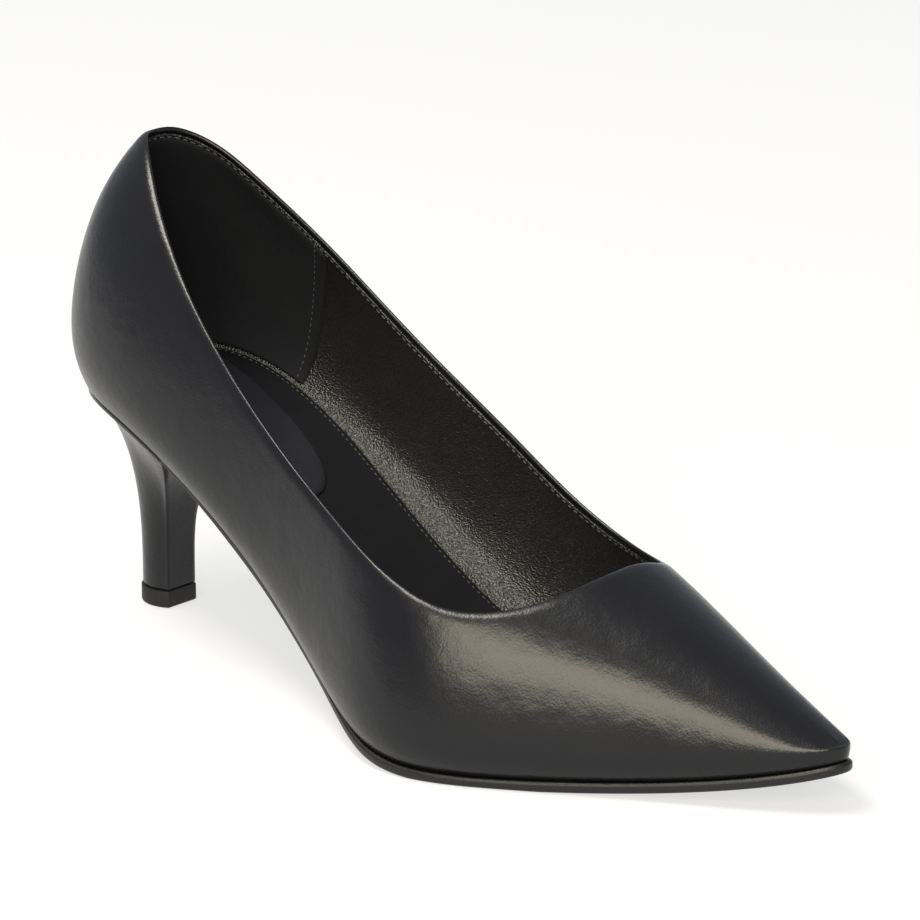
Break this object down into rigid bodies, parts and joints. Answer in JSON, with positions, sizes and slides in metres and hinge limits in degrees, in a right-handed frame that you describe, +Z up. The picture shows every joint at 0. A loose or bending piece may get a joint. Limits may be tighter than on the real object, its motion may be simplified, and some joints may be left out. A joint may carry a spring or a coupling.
{
  "type": "pump shoe",
  "caption": "Pointed court shoe in smooth leather, open over the foot, with a thin proud sole and a slender covered mid heel on a rubber top piece.",
  "frame": {"origin": "under the middle of the whole shoe's box, on the floor", "axes": "+X towards the toe, +Y to the medial side of this right shoe, +Z up from the floor"},
  "size_m": [0.2454, 0.0854, 0.1248],
  "materials": {
    "upper_leather": "smooth black calf, soft satin gloss, fine grain",
    "lining": "fine pebbled black lining, low gloss",
    "heel_grip": "matte suede-like heel grip",
    "sock": "matte black sock",
    "outsole": "black edge ink, satin",
    "heel_cover": "smooth black leather stretched over the heel, satin",
    "top_piece": "matte black rubber",
    "thread": "fine grey thread"
  },
  "bodies": {
    "root": {"upper": "upper_leather", "outsole": "outsole", "insole": "sock", "heel_pad": "sock", "heel": "heel_cover", "top_piece": "top_piece"}
  },
  "joints": []
}
